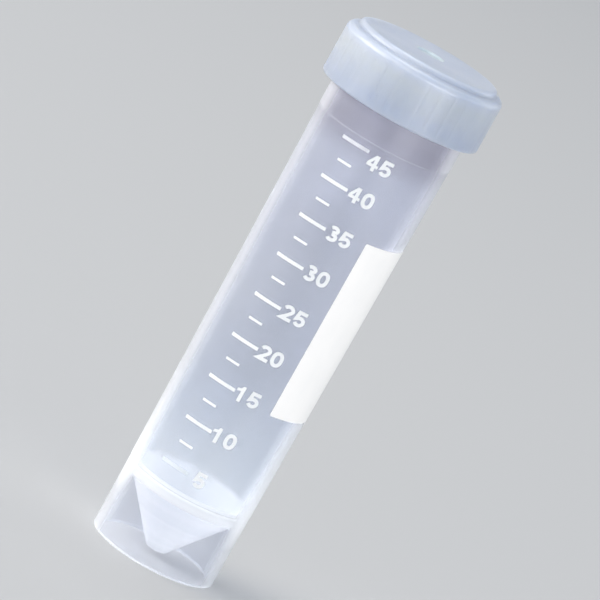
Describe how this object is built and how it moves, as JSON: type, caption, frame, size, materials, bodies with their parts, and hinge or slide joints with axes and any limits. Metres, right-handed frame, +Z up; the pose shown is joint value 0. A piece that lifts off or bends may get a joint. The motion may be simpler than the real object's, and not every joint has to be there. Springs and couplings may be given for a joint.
{
  "type": "conical centrifuge tube",
  "caption": "Self-standing 50 ml conical tube in hazy natural plastic, with a support skirt round its cone, a printed scale and writing panel, and a ribbed screw cap.",
  "frame": {"origin": "centre of the skirt's foot ring, on the surface the tube stands on", "axes": "+Z up along the tube's axis, towards the cap; -Y is the side with the printed scale"},
  "size_m": [0.0348, 0.0348, 0.1169],
  "materials": {
    "tube_plastic": "satin",
    "cap_plastic": "satin",
    "print_white": "matte"
  },
  "bodies": {
    "tube": {"tube_body": "tube_plastic"},
    "cap": {"screw_cap": "cap_plastic"}
  },
  "joints": [
    {"name": "cap_lift", "type": "slide", "parent": "tube", "child": "cap", "axis": [0, 0, 1], "range_m": [0, 0.04]}
  ]
}
